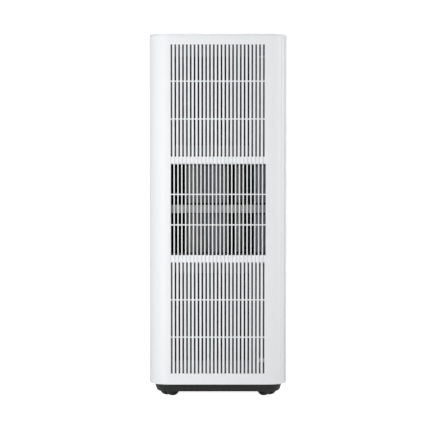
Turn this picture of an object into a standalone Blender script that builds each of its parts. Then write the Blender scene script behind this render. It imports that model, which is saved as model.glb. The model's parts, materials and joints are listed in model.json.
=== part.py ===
"""Portable air conditioner: a rounded upright cabinet on four twin-wheel casters.

Frame: +Z up, origin on the floor under the middle of the cabinet, the outlet side faces -Y and the
removable intake side, with its full-height grille, faces -X. Lengths are in metres.
"""

import math

import bmesh
import bpy
from mathutils import Vector

# Driving dimensions of the cabinet
WIDTH = 0.350            # along X
DEPTH = 0.290            # along Y
HEIGHT = 0.7615
CORNER = 0.042           # vertical corner radius
WALL = 0.0025
GAP = 0.0003             # clearance between touching pieces
SHELL_BOTTOM = 0.0282
SHELL_TOP = 0.7573
LIP_BOTTOM = 0.7526      # the top cover's lip over the front pieces
TOP_CHAMFER = 0.0020
FRAME_SEAM = -0.1316     # side shells end here, the front frame begins
PLATE_SEAM = -0.1393     # the front frame ends here, the front plate begins
ARC_STEPS = 7

# Intake grille: (bottom, top, bars) of each group of slots
SLOT_COUNT = 25
SLOT_PITCH = 0.0080
GRILLE_SHIFT = 0.0013
FILTER_SLOT = 0.0034
WINDOW_SLOT = 0.0054
WINDOW_SHIFT = -0.0013
BAR_HEIGHT = 0.0025
UPPER_GROUP = (0.5054, 0.7379, (0.5835, 0.6620))
WINDOW_GROUP = (0.2998, 0.4903, (0.3630, 0.4267))
LOWER_GROUP = (0.0516, 0.2844, (0.1280, 0.2062))

# Air filters behind the grille, on the removable cover
FILTER_OUTER_X = -0.1720
FILTER_INNER_X = -0.1675
FILTER_MESH = 0.0014
FILTER_HALF = 0.1015
FILTER_OPEN_Y = (-0.0680, 0.0930)
UPPER_FILTER = (0.5080, 0.7365, 0.5275, 0.7145)
LOWER_FILTER = (0.0535, 0.2820, 0.0780, 0.2635)

# Base and casters
BASE_BOTTOM = 0.0112
BASE_INSET = 0.010
BASE_TAPER = 0.0045
CASTER_X = 0.122
CASTER_Y = 0.094
WELL_RADIUS = 0.0345
WELL_ROOF = 0.0490
WHEEL_RADIUS = 0.018
WHEEL_SIDES = 20
WHEEL_WIDTH = 0.0105
WHEEL_SPACING = 0.018
TRAIL = 0.012
AXLE_RADIUS = 0.003
STEM_RADIUS = 0.004
AXLE_HEIGHT = WHEEL_RADIUS * math.cos(math.pi / WHEEL_SIDES)

# Blowers, their axes run along X
BLOWER_LEFT = -0.112
BLOWER_RIGHT = 0.022
SCROLL_START = 0.080
SCROLL_END = 0.105
TONGUE_ANGLE = 35.0
INLET_RADIUS = 0.056
FAN_RADIUS = 0.072
FAN_BORE = 0.060
FAN_LEFT = -0.100
FAN_RIGHT = 0.005
FAN_SLOTS = 18
UPPER_AXIS = (0.020, 0.6105)
LOWER_AXIS = (0.000, 0.1650)
MOTOR_RADIUS = 0.035

# Air outlet at the top of the front
OUTLET_HALF = 0.112
OUTLET_LOW = 0.6550
OUTLET_HIGH = 0.7150
FLAP_AXIS = (-0.1425, 0.6580)
VANE_XS = (-0.0825, -0.0275, 0.0275, 0.0825)
VANE_AXIS_Y = -0.116
VANE_CHORD = 0.026
VANE_LINK_ARM = 0.011

# Rear connections
PORT_CENTRE = (-0.045, 0.350)
PORT_RADIUS = 0.062
COLLAR_RADIUS = 0.070
DRAINS = {"upper": (0.090, 0.470), "lower": (-0.095, 0.066)}
GLAND_CENTRE = (0.095, 0.110)
GRIP = (0.075, 0.655, 0.705, 0.118)

# Control panel in the top cover
PANEL_HALF = 0.085
PANEL_Y = (-0.118, -0.072)
PANEL_TOP = HEIGHT - 0.0008
BUTTONS = {"power": -0.067, "mode": -0.042, "speed": 0.042, "timer": 0.067}
BUTTON_SIZE = (0.0170, 0.0130)
DISPLAY_HALF = (0.0245, 0.0150)

# Blower and pipe details
BLOWER_OUTLET = {"upper": 0.0977, "lower": 0.1205}       # axis to the scroll's mouth
MOTOR_END = {"upper": 0.066, "lower": 0.050}

# Cooling circuit
COIL_X = (-0.1480, -0.1160)
COIL_HALF = 0.112
EVAPORATOR_Z = (0.512, 0.728)
CONDENSER_Z = (0.056, 0.272)
COMPRESSOR_CENTRE = (0.108, 0.000)
COMPRESSOR_RADIUS = 0.052
ACCUMULATOR_CENTRE = (0.060, 0.062)

# Clear of a surface on both sides, so that a cutter leaves no skin
PAST = 0.010


# ------------------------------------------------------------------ helpers

def clear_scene():
    for item in list(bpy.data.objects):
        bpy.data.objects.remove(item, do_unlink=True)


def linear(channel):
    return channel / 12.92 if channel <= 0.04045 else ((channel + 0.055) / 1.055) ** 2.4


def material(name, hex_colour, roughness, metallic=0.0):
    """A plain Principled material from an sRGB colour."""
    made = bpy.data.materials.new(name)
    made.use_nodes = True
    surface = made.node_tree.nodes["Principled BSDF"]
    channels = [linear(int(hex_colour[i:i + 2], 16) / 255.0) for i in (0, 2, 4)]
    surface.inputs["Base Color"].default_value = (*channels, 1.0)
    surface.inputs["Roughness"].default_value = roughness
    surface.inputs["Metallic"].default_value = metallic
    made.diffuse_color = (*channels, 1.0)
    return made


def place(axis, a, b, height):
    """Put a point of a flat outline, and its height along the axis, into space."""
    if axis == "Z":
        return (a, b, height)
    if axis == "Y":
        return (a, height, b)
    return (height, a, b)


def prism(outline, low, high, axis="Z", into=None):
    """A closed outline extruded along one axis."""
    shape = into or bmesh.new()
    bottom = [shape.verts.new(place(axis, a, b, low)) for a, b in outline]
    top = [shape.verts.new(place(axis, a, b, high)) for a, b in outline]
    shape.faces.new(bottom)
    shape.faces.new(top)
    for i in range(len(outline)):
        j = (i + 1) % len(outline)
        shape.faces.new((bottom[i], bottom[j], top[j], top[i]))
    return shape


def box(x, y, z, into=None):
    """A box from three (low, high) pairs."""
    outline = [(x[0], y[0]), (x[1], y[0]), (x[1], y[1]), (x[0], y[1])]
    return prism(outline, z[0], z[1], "Z", into)


def turned(profile, centre, axis="Z", sides=24, phase=0.0, closed=False, into=None):
    """A profile of (radius, height) turned about an axis through centre."""
    shape = into or bmesh.new()
    rings = []
    for radius, height in profile:
        if radius == 0.0:
            rings.append([shape.verts.new(place(axis, centre[0], centre[1], height))])
            continue
        ring = []
        for i in range(sides):
            angle = phase + 2.0 * math.pi * i / sides
            a = centre[0] + radius * math.cos(angle)
            b = centre[1] + radius * math.sin(angle)
            ring.append(shape.verts.new(place(axis, a, b, height)))
        rings.append(ring)
    pairs = list(zip(rings, rings[1:]))
    if closed:
        pairs.append((rings[-1], rings[0]))
    for first, second in pairs:
        for i in range(sides):
            j = (i + 1) % sides
            corners = [first[i % len(first)], first[j % len(first)],
                       second[j % len(second)], second[i % len(second)]]
            shape.faces.new(list(dict.fromkeys(corners)))
    return shape


def cylinder(centre, radius, low, high, axis="Z", sides=24, into=None):
    """A closed round bar."""
    return turned([(0.0, low), (radius, low), (radius, high), (0.0, high)], centre, axis, sides,
                  into=into)


def ring(centre, inner, outer, low, high, axis="Z", sides=32):
    """A closed flat-ended tube."""
    profile = [(inner, low), (outer, low), (outer, high), (inner, high)]
    return turned(profile, centre, axis, sides, closed=True)


def link(name, shape, surface, origin=(0.0, 0.0, 0.0), turn=0.0):
    """Make an object whose origin is on its joint; the shape is given in space."""
    bmesh.ops.translate(shape, verts=shape.verts, vec=-Vector(origin))
    bmesh.ops.recalc_face_normals(shape, faces=shape.faces)
    mesh = bpy.data.meshes.new(name)
    shape.to_mesh(mesh)
    shape.free()
    mesh.materials.append(surface)
    mesh.shade_smooth()
    mesh.set_sharp_from_angle(angle=math.radians(32.0))
    item = bpy.data.objects.new(name, mesh)
    item.location = origin
    item.rotation_euler = (0.0, 0.0, turn)
    bpy.context.collection.objects.link(item)
    return item


def combine(item, shape, operation="DIFFERENCE", origin=(0.0, 0.0, 0.0), turn=0.0):
    """Cut or join a helper shape, which stays hidden, on an object."""
    helper = link(item.name + "_helper", shape, item.data.materials[0], origin, turn)
    helper.hide_render = True
    helper.display_type = "WIRE"
    step = item.modifiers.new(operation.lower(), "BOOLEAN")
    step.operation = operation
    step.object = helper
    return item


def arc(centre, radius, start, end, steps):
    """Points on an arc, angles in degrees."""
    points = []
    for i in range(steps + 1):
        angle = math.radians(start + (end - start) * i / steps)
        points.append((centre[0] + radius * math.cos(angle), centre[1] + radius * math.sin(angle)))
    return points


def rounded_rectangle(half_x, half_y, radius, steps=ARC_STEPS):
    corners = ((1, 1, 0.0), (-1, 1, 90.0), (-1, -1, 180.0), (1, -1, 270.0))
    outline = []
    for sx, sy, start in corners:
        centre = (sx * (half_x - radius), sy * (half_y - radius))
        outline += arc(centre, radius, start, start + 90.0, steps)
    return outline


def stacked(loops):
    """A closed body through outlines of equal length, each at its own height."""
    shape = bmesh.new()
    levels = [[shape.verts.new((x, y, z)) for x, y in outline] for outline, z in loops]
    shape.faces.new(levels[0])
    shape.faces.new(levels[-1])
    for lower, upper in zip(levels, levels[1:]):
        for i in range(len(lower)):
            j = (i + 1) % len(lower)
            shape.faces.new((lower[i], lower[j], upper[j], upper[i]))
    return shape


def seam_angle(seam_y, radius):
    """Angle on a front corner, from the side face, where the corner meets a seam."""
    return math.degrees(math.asin((-seam_y - (DEPTH / 2 - CORNER)) / radius))


# ------------------------------------------------------------------ cabinet shells

def side_outline(side):
    """Outline of a side shell seen from above, wrapped round both corners."""
    centre_x = side * (WIDTH / 2 - CORNER)
    centre_y = DEPTH / 2 - CORNER
    seam = FRAME_SEAM + GAP / 2
    outer_end = seam_angle(seam, CORNER)
    inner_end = seam_angle(seam, CORNER - WALL)
    base = 0.0 if side > 0 else 180.0
    outline = arc((centre_x, -centre_y), CORNER, base - side * outer_end, base, ARC_STEPS)
    outline += arc((centre_x, centre_y), CORNER, base, base + side * 90.0, ARC_STEPS)
    outline += arc((centre_x, centre_y), CORNER - WALL, base + side * 90.0, base, ARC_STEPS)
    outline += arc((centre_x, -centre_y), CORNER - WALL, base, base - side * inner_end, ARC_STEPS)
    return outline


def slot_cutters():
    """Every through slot of the three groups, split by the cross bars."""
    shape = bmesh.new()
    through = (-WIDTH / 2 - 0.005, -WIDTH / 2 + WALL + 0.005)
    groups = ((UPPER_GROUP, FILTER_SLOT, 0.0), (WINDOW_GROUP, WINDOW_SLOT, WINDOW_SHIFT),
              (LOWER_GROUP, FILTER_SLOT, 0.0))
    for (low, high, bars), width, shift in groups:
        edges = [low]
        for bar in bars:
            edges += [bar - BAR_HEIGHT / 2, bar + BAR_HEIGHT / 2]
        edges.append(high)
        for i in range(SLOT_COUNT):
            middle = GRILLE_SHIFT + shift + (i - (SLOT_COUNT - 1) / 2) * SLOT_PITCH
            for bottom, top in zip(edges[0::2], edges[1::2]):
                box(through, (middle - width / 2, middle + width / 2), (bottom, top), shape)
    return shape


def build_shells(white):
    cover = link("side_grille_cover", prism(side_outline(-1), SHELL_BOTTOM, SHELL_TOP - GAP), white)
    combine(cover, slot_cutters())
    link("left_side_shell", prism(side_outline(1), SHELL_BOTTOM, SHELL_TOP - GAP), white)


def build_rear_panel(white):
    half = WIDTH / 2 - CORNER - GAP
    outer = DEPTH / 2
    inner = outer - WALL
    grip_half, grip_low, grip_high, grip_floor = GRIP
    panel = link("rear_panel", box((-half, half), (inner, outer), (SHELL_BOTTOM, SHELL_TOP - GAP)), white)
    pocket = box((-grip_half, grip_half), (grip_floor, inner + 0.001), (grip_low, grip_high))
    combine(panel, pocket, "UNION")
    for centre in DRAINS.values():
        combine(panel, cylinder(centre, 0.0130, 0.1300, inner + 0.001, "Y", 20), "UNION")
    combine(panel, box((-grip_half + WALL, grip_half - WALL), (grip_floor + WALL, outer + 0.01),
                       (grip_low + WALL, grip_high - WALL)))
    combine(panel, cylinder(PORT_CENTRE, COLLAR_RADIUS + GAP, 0.12, 0.16, "Y", 40))
    combine(panel, cylinder(GLAND_CENTRE, 0.0105, 0.12, 0.16, "Y", 20))
    for centre in DRAINS.values():
        bore = turned([(0.0, 0.12), (0.0065, 0.12), (0.0065, inner), (0.0115, inner), (0.0115, 0.16),
                       (0.0, 0.16)], centre, "Y", 20)
        combine(panel, bore)
    vents = bmesh.new()
    for i in range(9):
        middle = 0.040 + 0.008 * i
        box((middle - 0.002, middle + 0.002), (inner - 0.01, outer + 0.01), (0.150, 0.240), vents)
    combine(panel, vents)


def front_outline(back_y, face_y):
    """Outline of a slice of the front between two planes, with the corner arcs at its ends."""
    centre_x = WIDTH / 2 - CORNER
    centre_y = -(DEPTH / 2 - CORNER)
    start = seam_angle(back_y, CORNER)
    end = 90.0 if face_y <= -DEPTH / 2 else seam_angle(face_y, CORNER)
    left = arc((-centre_x, centre_y), CORNER, 180.0 + start, 180.0 + end, ARC_STEPS)
    right = arc((centre_x, centre_y), CORNER, 360.0 - end, 360.0 - start, ARC_STEPS)
    return left + right


def build_front(white):
    top = LIP_BOTTOM - GAP
    frame = link("front_frame", prism(front_outline(FRAME_SEAM - GAP / 2, PLATE_SEAM + GAP / 2),
                                      SHELL_BOTTOM, top), white)
    combine(frame, box((-0.135, 0.135), (-0.16, -0.11), (0.060, 0.722)))
    plate = link("front_plate", prism(front_outline(PLATE_SEAM - GAP / 2, -DEPTH / 2), SHELL_BOTTOM, top),
                 white)
    combine(plate, box((-OUTLET_HALF, OUTLET_HALF), (-0.16, -0.12), (OUTLET_LOW, OUTLET_HIGH)))


def build_top(white):
    full = rounded_rectangle(WIDTH / 2, DEPTH / 2, CORNER)
    inset = rounded_rectangle(WIDTH / 2 - TOP_CHAMFER, DEPTH / 2 - TOP_CHAMFER, CORNER - TOP_CHAMFER)
    loops = ((full, LIP_BOTTOM), (full, HEIGHT - TOP_CHAMFER), (inset, HEIGHT))
    cover = link("top_cover", stacked(loops), white)
    combine(cover, box((-0.2, 0.2), (FRAME_SEAM, 0.2), (0.74, SHELL_TOP)))
    combine(cover, box((-PANEL_HALF, PANEL_HALF), PANEL_Y, (0.74, 0.78)))


# ------------------------------------------------------------------ controls

def build_controls(panel_grey, button_grey, lens):
    y_low, y_high = PANEL_Y
    middle = (y_low + y_high) / 2
    body = box((-PANEL_HALF + GAP, PANEL_HALF - GAP), (y_low + GAP, y_high - GAP),
               (SHELL_TOP - 0.0030, PANEL_TOP))
    panel = link("control_panel", body, panel_grey)
    flange = box((-PANEL_HALF - 0.004, PANEL_HALF + 0.004), (y_low - 0.003, y_high + 0.003),
                 (SHELL_TOP - 0.0035, SHELL_TOP - GAP))
    combine(panel, flange, "UNION")
    key_x, key_y = BUTTON_SIZE[0] / 2, BUTTON_SIZE[1] / 2
    for x in BUTTONS.values():
        hole = rounded_rectangle(key_x + GAP, key_y + GAP, 0.004, 3)
        combine(panel, prism([(x + a, middle + b) for a, b in hole], 0.74, 0.78))
    half_x, half_y = DISPLAY_HALF
    combine(panel, box((-half_x - GAP, half_x + GAP), (middle - half_y - GAP, middle + half_y + GAP),
                       (PANEL_TOP - 0.0016, 0.78)))
    link("display_window", box((-half_x, half_x), (middle - half_y, middle + half_y),
                               (PANEL_TOP - 0.0013, PANEL_TOP + 0.0001)), lens)
    for name, x in BUTTONS.items():
        cap = [(x + a, middle + b) for a, b in rounded_rectangle(key_x, key_y, 0.0037, 3)]
        base_z = SHELL_TOP - 0.0020
        link("button_" + name, prism(cap, base_z, HEIGHT - 0.0002), button_grey, (x, middle, base_z))


# ------------------------------------------------------------------ filters and window

def build_filter(name, limits, frame_grey, mesh_grey):
    low, high, open_low, open_high = limits
    depth = (FILTER_OUTER_X, FILTER_INNER_X)
    frame = link(name + "_filter_frame", box(depth, (-FILTER_HALF, FILTER_HALF), (low, high)), frame_grey)
    combine(frame, box((-0.19, -0.15), FILTER_OPEN_Y, (open_low, open_high)))
    rib_y = sum(FILTER_OPEN_Y) / 2
    rib = box((FILTER_OUTER_X + 0.0022, FILTER_INNER_X - 0.0002), (rib_y - 0.001, rib_y + 0.001),
              (open_low - 0.001, open_high + 0.001))
    combine(frame, rib, "UNION")
    sheet = box((FILTER_OUTER_X + 0.0004, FILTER_OUTER_X + 0.0004 + FILTER_MESH),
                (FILTER_OPEN_Y[0] + GAP, FILTER_OPEN_Y[1] - GAP), (open_low + GAP, open_high - GAP))
    link(name + "_filter_mesh", sheet, mesh_grey)


def build_filter_bay(dark, light):
    bay = link("filter_bay_frame", box((-0.1640, -0.1560), (-0.122, 0.122), (0.0535, 0.750)), dark)
    for low, high in ((0.510, 0.735), (0.300, 0.490), (0.060, 0.282)):
        combine(bay, box((-0.18, -0.14), (-0.104, 0.104), (low, high)))
    link("cross_rib", box((-0.1630, -0.1575), (-0.1037, 0.1037), (0.3872, 0.4045)), light)


def build_air_guide(dark):
    """Convex vertical guides on a back plate, seen through the middle slots."""
    guide = link("window_air_guide", box((-0.1215, -0.1185), (-0.110, 0.110), (0.302, 0.488)), dark)
    for left, right in ((0.066, 0.0190), (0.0180, -0.0230), (-0.0360, -0.0520)):
        middle = (left + right) / 2
        half = (left - right) / 2
        outline = [(-0.1205, left)]
        for i in range(7):
            t = math.pi * i / 6
            outline.append((-0.1450 - 0.0070 * math.sin(t) + 0.0100 * i / 6, middle + half * math.cos(t)))
        outline.append((-0.1205, right))
        combine(guide, prism(outline, 0.304, 0.486), "UNION")
    combine(guide, box((-0.1520, -0.1205), (-0.1085, -0.0770), (0.304, 0.486)), "UNION")


# ------------------------------------------------------------------ cooling circuit

def build_coils(aluminium):
    across = (-COIL_HALF, COIL_HALF)
    link("evaporator_coil", box(COIL_X, across, EVAPORATOR_Z), aluminium)
    link("condenser_coil", box(COIL_X, across, CONDENSER_Z), aluminium)


def rounded_path(points, radius, steps=4):
    """A polyline with its inner corners rounded."""
    path = [Vector(points[0])]
    for before, corner, after in zip(points, points[1:], points[2:]):
        corner = Vector(corner)
        start = corner + (Vector(before) - corner).normalized() * radius
        end = corner + (Vector(after) - corner).normalized() * radius
        for i in range(steps + 1):
            t = i / steps
            path.append(start * (1 - t) ** 2 + corner * 2 * t * (1 - t) + end * t ** 2)
    path.append(Vector(points[-1]))
    return path


def pipe(name, points, radius, surface):
    curve = bpy.data.curves.new(name, "CURVE")
    curve.dimensions = "3D"
    curve.bevel_depth = radius
    curve.bevel_resolution = 2
    curve.use_fill_caps = True
    path = rounded_path(points, 0.016)
    spline = curve.splines.new("POLY")
    spline.points.add(len(path) - 1)
    for point, place_at in zip(spline.points, path):
        point.co = (*place_at, 1.0)
    curve.materials.append(surface)
    item = bpy.data.objects.new(name, curve)
    bpy.context.collection.objects.link(item)


def build_compressor(black, copper):
    centre = COMPRESSOR_CENTRE
    low, high, radius = 0.024, 0.235, COMPRESSOR_RADIUS
    profile = [(0.0, low), (radius * 0.7, low), (radius, low + 0.018), (radius, high - 0.030),
               (radius * 0.85, high - 0.012), (radius * 0.5, high), (0.0, high + 0.002)]
    link("compressor", turned(profile, centre, sides=24), black)
    bottle = ACCUMULATOR_CENTRE
    profile = [(0.0, 0.050), (0.014, 0.052), (0.018, 0.062), (0.018, 0.172), (0.014, 0.184), (0.0, 0.190)]
    link("accumulator", turned(profile, bottle, sides=16), black)
    suction = [(*bottle, 0.1905), (*bottle, 0.300), (0.120, 0.105, 0.360), (0.120, 0.105, 0.520),
               (0.120, 0.1310, 0.575), (-0.132, 0.1310, 0.575), (-0.132, 0.1125, 0.575)]
    pipe("suction_pipe", suction, 0.0040, copper)
    discharge = [(*centre, high + 0.0025), (*centre, 0.2925), (-0.132, centre[1], 0.2925),
                 (-0.132, centre[1], 0.2725)]
    pipe("discharge_pipe", discharge, 0.0030, copper)


# ------------------------------------------------------------------ blowers

def scroll(axis, outlet, shrink, to_space):
    """Scroll outline: it opens along +u at the top, and the spiral runs back to the tongue."""
    last = SCROLL_END - shrink
    first = SCROLL_START - shrink
    sweep = 270.0 + TONGUE_ANGLE
    outline = [(outlet, last)]
    steps = 22
    for i in range(steps + 1):
        angle = math.radians(90.0 + sweep * i / steps)
        radius = last + (first - last) * i / steps
        outline.append((radius * math.cos(angle), radius * math.sin(angle)))
    outline.append((outlet, outline[-1][1]))
    return [to_space(axis, u, v) for u, v in outline]


def towards_front(axis, u, v):
    return (axis[0] - u, axis[1] + v)


def towards_top(axis, u, v):
    return (axis[0] + v, axis[1] + u)


def build_blower(name, axis, to_space, plastic, fan_black, steel):
    outlet, motor_end = BLOWER_OUTLET[name], MOTOR_END[name]
    housing = link(name + "_scroll_housing",
                   prism(scroll(axis, outlet, 0.0, to_space), BLOWER_LEFT, BLOWER_RIGHT, "X"), plastic)
    inside = scroll(axis, outlet + PAST, WALL, to_space)
    combine(housing, prism(inside, BLOWER_LEFT + WALL, BLOWER_RIGHT - WALL, "X"))
    combine(housing, cylinder(axis, INLET_RADIUS, BLOWER_LEFT - PAST, BLOWER_LEFT + PAST, "X", 32))
    combine(housing, cylinder(axis, 0.0125, BLOWER_RIGHT - PAST, BLOWER_RIGHT + PAST, "X", 20))

    bore_end = BLOWER_RIGHT + 0.018
    profile = [(0.0, bore_end), (0.0050, bore_end), (0.0050, BLOWER_RIGHT + GAP),
               (MOTOR_RADIUS * 0.8, BLOWER_RIGHT + GAP), (MOTOR_RADIUS, BLOWER_RIGHT + 0.006),
               (MOTOR_RADIUS, motor_end - 0.005), (MOTOR_RADIUS * 0.8, motor_end), (0.0, motor_end)]
    link(name + "_fan_motor", turned(profile, axis, "X", 24), steel)

    origin = (FAN_RIGHT, *axis)
    rim = 0.006
    profile = [(0.0, FAN_RIGHT - 0.030), (0.0110, FAN_RIGHT - 0.030), (0.0110, FAN_RIGHT - 0.0025),
               (FAN_BORE, FAN_RIGHT - 0.0025), (FAN_BORE, FAN_LEFT), (FAN_RADIUS, FAN_LEFT),
               (FAN_RADIUS, FAN_RIGHT), (0.0040, FAN_RIGHT), (0.0040, bore_end - 0.001),
               (0.0, bore_end - 0.001)]
    fan = link(name + "_fan_wheel", turned(profile, axis, "X", 36), fan_black, origin)
    slots = bmesh.new()
    for i in range(FAN_SLOTS):
        angle = 2.0 * math.pi * (i + 0.5) / FAN_SLOTS
        lean = angle + math.radians(9.0)
        out = (math.cos(angle), math.sin(angle))
        side = (-math.sin(lean), math.cos(lean))
        outline = []
        for radius, offset in ((0.052, -0.0095), (0.080, -0.0080), (0.080, 0.0080), (0.052, 0.0075)):
            outline.append((axis[0] + radius * out[0] + offset * side[0],
                            axis[1] + radius * out[1] + offset * side[1]))
        prism(outline, FAN_LEFT + rim, FAN_RIGHT - rim, "X", slots)
    combine(fan, slots)


def build_exhaust(plastic, white):
    x = (BLOWER_LEFT, BLOWER_RIGHT)
    duct = link("exhaust_duct", box(x, (0.0430, 0.1295), (0.2858, 0.4200)), plastic)
    inside_x = (x[0] + WALL, x[1] - WALL)
    combine(duct, box(inside_x, (0.0430 + WALL, 0.1295 - WALL), (0.2858 + WALL, 0.4200 - WALL)))
    combine(duct, box(inside_x, (0.0480, 0.1020), (0.27, 0.30)))
    combine(duct, cylinder(PORT_CENTRE, PORT_RADIUS, 0.115, 0.14, "Y", 40))
    collar = ring(PORT_CENTRE, PORT_RADIUS, COLLAR_RADIUS, 0.1298, DEPTH / 2 - GAP, "Y", 40)
    link("exhaust_collar", collar, white)


# ------------------------------------------------------------------ outlet

def build_outlet(white, dark):
    straight = (-0.1385, -0.1000)
    back_y = UPPER_AXIS[0] - BLOWER_OUTLET["upper"] - GAP
    z = (OUTLET_LOW - 0.0005, OUTLET_HIGH + 0.0005)
    half = OUTLET_HALF - 0.0005
    sections = ((straight[0], -half, half), (straight[1], -half, half), (back_y, BLOWER_LEFT, BLOWER_RIGHT))
    shape = bmesh.new()
    loops = []
    for shrink in (0.0, WALL):
        for y, left, right in sections if shrink == 0.0 else reversed(sections):
            corners = ((left + shrink, z[0] + shrink), (right - shrink, z[0] + shrink),
                       (right - shrink, z[1] - shrink), (left + shrink, z[1] - shrink))
            loops.append([shape.verts.new((a, y, b)) for a, b in corners])
    for first, second in zip(loops, loops[1:] + loops[:1]):
        for i in range(4):
            j = (i + 1) % 4
            shape.faces.new((first[i], first[j], second[j], second[i]))
    link("outlet_duct", shape, dark)

    axis_y, axis_z = FLAP_AXIS
    flap = [(-DEPTH / 2 + GAP, OUTLET_LOW + 0.0015), (-0.1417, OUTLET_LOW + 0.0015),
            (-0.1417, OUTLET_HIGH - 0.0015), (-DEPTH / 2 + GAP, OUTLET_HIGH - 0.0015)]
    link("outlet_flap", prism(flap, -OUTLET_HALF + 0.0015, OUTLET_HALF - 0.0015, "X"), white,
         (0.0, axis_y, axis_z))

    z_low, z_high = OUTLET_LOW + 0.0035, OUTLET_HIGH - 0.0035
    z_mid = (z_low + z_high) / 2
    for number, x in enumerate(VANE_XS, 1):
        front, back = VANE_AXIS_Y - VANE_CHORD / 2, VANE_AXIS_Y + VANE_CHORD / 2
        notch = VANE_AXIS_Y + 0.007
        outline = [(front, z_low), (back, z_low), (back, z_mid - 0.0035), (notch, z_mid - 0.0035),
                   (notch, z_mid + 0.0035), (back, z_mid + 0.0035), (back, z_high), (front, z_high)]
        link("swing_vane_%d" % number, prism(outline, x - 0.0008, x + 0.0008, "X"), dark,
             (x, VANE_AXIS_Y, z_mid))
    bar_y = VANE_AXIS_Y + VANE_LINK_ARM
    link("vane_link", box((VANE_XS[0] - 0.006, VANE_XS[-1] + 0.006), (bar_y - 0.0012, bar_y + 0.0012),
                          (z_mid - 0.0020, z_mid + 0.0020)), dark, (0.0, bar_y, z_mid))
    link("swing_motor", box((OUTLET_HALF, OUTLET_HALF + 0.018), (-0.1270, -0.1030),
                            (z_mid - 0.015, z_mid + 0.015)), dark)


# ------------------------------------------------------------------ base and casters

def build_base(charcoal):
    def level(inset, z):
        return (rounded_rectangle(WIDTH / 2 - inset, DEPTH / 2 - inset, CORNER - inset), z)

    loops = (level(BASE_INSET + BASE_TAPER + 0.0030, BASE_BOTTOM),
             level(BASE_INSET + BASE_TAPER, BASE_BOTTOM + 0.0030),
             level(BASE_INSET, SHELL_BOTTOM - GAP))
    tray = link("base_tray", stacked(loops), charcoal)
    pocket = level(BASE_INSET + 0.008, 0.0)[0]
    combine(tray, prism(pocket, 0.0165, 0.04))
    spots = [(sx * CASTER_X, sy * CASTER_Y) for sx in (-1, 1) for sy in (-1, 1)]
    for spot in spots:
        combine(tray, cylinder(spot, WELL_RADIUS + WALL, 0.0150, WELL_ROOF + 0.004, "Z", 32), "UNION")
    for spot in spots:
        bore = STEM_RADIUS + 0.0004
        profile = [(0.0, 0.0), (WELL_RADIUS, 0.0), (WELL_RADIUS, WELL_ROOF), (bore, WELL_ROOF),
                   (bore, 0.06), (0.0, 0.06)]
        combine(tray, turned(profile, spot, "Z", 32))


def build_caster(name, spot, turn, black, steel):
    """A twin-wheel caster; its local +X is the trailing direction."""
    origin = (*spot, WELL_ROOF)
    low = AXLE_HEIGHT

    def local(shape):
        bmesh.ops.translate(shape, verts=shape.verts, vec=Vector(origin))
        return shape

    stem = [(0.0, -0.0090), (0.0150, -0.0090), (0.0150, -0.0050), (STEM_RADIUS, -0.0050),
            (STEM_RADIUS, 0.0045), (0.0, 0.0045)]
    fork = link("caster_fork_" + name, local(turned(stem, (0.0, 0.0), "Z", 20)), black, origin, turn)
    drop = low - WELL_ROOF
    web = prism([(-0.0070, -0.0060), (-0.0040, -0.0200), (TRAIL - 0.0050, drop - 0.0060),
                 (TRAIL + 0.0050, drop - 0.0060), (TRAIL + 0.0070, drop + 0.0040), (0.0120, -0.0060)],
                -0.0028, 0.0028, "Y")
    combine(fork, local(web), "UNION", origin, turn)
    reach = WHEEL_SPACING / 2 + WHEEL_WIDTH / 2 - 0.0005
    axle = cylinder((TRAIL, drop), AXLE_RADIUS, -reach, reach, "Y", 12)
    combine(fork, local(axle), "UNION", origin, turn)

    heading = Vector((math.cos(turn), math.sin(turn), 0.0))
    across = Vector((-math.sin(turn), math.cos(turn), 0.0))
    edge = 0.0022
    half = WHEEL_WIDTH / 2
    profile = [(AXLE_RADIUS + 0.0003, -half), (WHEEL_RADIUS - edge, -half), (WHEEL_RADIUS, -half + edge),
               (WHEEL_RADIUS, half - edge), (WHEEL_RADIUS - edge, half), (AXLE_RADIUS + 0.0003, half)]
    for label, side in (("a", -1), ("b", 1)):
        centre = Vector(spot + (low,)) + heading * TRAIL + across * (side * WHEEL_SPACING / 2)
        shape = turned(profile, (0.0, 0.0), "Y", WHEEL_SIDES, math.pi / WHEEL_SIDES, closed=True)
        bmesh.ops.translate(shape, verts=shape.verts, vec=centre)
        link("caster_wheel_" + name + "_" + label, shape, steel, centre, turn)


def build_casters(black, wheel_black):
    """At rest each caster trails outwards, at 45 degrees to the cabinet."""
    corners = {"front_left": (1, -1), "front_right": (-1, -1), "rear_left": (1, 1), "rear_right": (-1, 1)}
    for name, (sx, sy) in corners.items():
        spot = (sx * CASTER_X, sy * CASTER_Y)
        build_caster(name, spot, math.atan2(sy, sx), black, wheel_black)


# ------------------------------------------------------------------ small pieces

def build_inside(plastic, steel):
    pan = link("drain_pan", box((-0.150, 0.100), (-0.118, 0.118), (0.4920, 0.5060)), plastic)
    combine(pan, box((-0.1475, 0.0975), (-0.1155, 0.1155), (0.4945, 0.52)))
    link("control_box", box((0.095, 0.160), (-0.112, -0.010), (0.520, 0.640)), steel)


def build_rear_fittings(grey, black):
    inner = DEPTH / 2 - WALL
    for name, centre in DRAINS.items():
        profile = [(0.0, 0.1330), (0.0058, 0.1330), (0.0060, inner + GAP), (0.0110, inner + GAP),
                   (0.0110, DEPTH / 2 - GAP), (0.0, DEPTH / 2 - GAP)]
        link("drain_plug_" + name, turned(profile, centre, "Y", 20), grey,
             (centre[0], DEPTH / 2 - WALL, centre[1]))
    profile = [(0.0042, 0.1300), (0.0125, 0.1300), (0.0125, inner - GAP), (0.0102, inner - GAP),
               (0.0102, DEPTH / 2 - GAP), (0.0042, DEPTH / 2 - GAP)]
    link("cable_gland", turned(profile, GLAND_CENTRE, "Y", 20, closed=True), black)


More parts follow.
